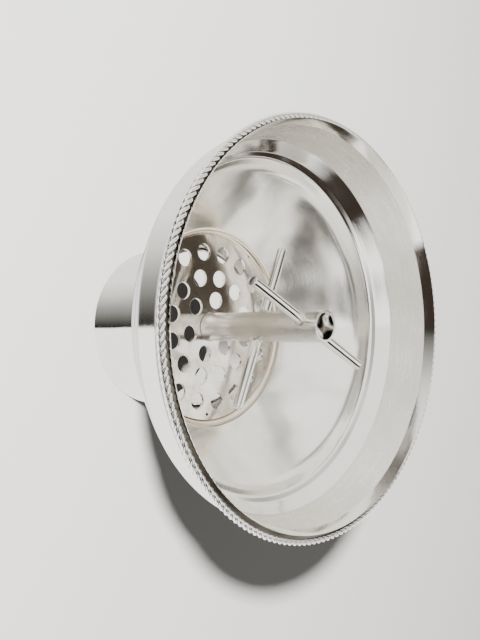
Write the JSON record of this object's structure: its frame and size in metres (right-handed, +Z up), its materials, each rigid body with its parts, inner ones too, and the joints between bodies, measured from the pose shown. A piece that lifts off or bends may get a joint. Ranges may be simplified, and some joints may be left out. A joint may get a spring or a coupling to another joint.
{
  "type": "basket strainer",
  "caption": "Funnel-shaped silver-plated strainer head with a rope-edged mouth, an open neck, a perforated plate and a post with crossed rods.",
  "frame": {"origin": "centre of the neck's open end, which is the lowest plane of the part", "axes": "+Z up the common axis from the neck to the mouth; +X towards the side where the rope border stands off the rim"},
  "size_m": [0.1251, 0.125, 0.0792],
  "materials": {
    "silver_polished": "mirror-polished silver plate with fine wear scratches",
    "silver_satin": "satin silver plate, hazy, with fine concentric scratches",
    "silver_rope": "polished silver plate, darkened in the grooves",
    "plate_tarnished": "tarnished silver plate, mottled, with small pits",
    "seat_brass": "warm, thinly plated brass, satin",
    "rod_silver": "bright drawn bar, lightly scratched",
    "solder": "dull silver solder, slightly lumpy"
  },
  "bodies": {
    "root": {"dome_shell": "silver_polished", "mouth_ring": "silver_polished", "mouth_collar": "silver_satin", "rope_border": "silver_rope", "rope_solder": "solder", "neck_sleeve": "silver_polished", "plate_seat_ring": "seat_brass", "strainer_plate": "plate_tarnished", "centre_post": "silver_satin", "lower_cross_rod": "rod_silver", "upper_cross_rod": "rod_silver", "lower_rod_solder": "solder", "upper_rod_solder": "solder", "post_solder": "solder"}
  },
  "joints": []
}
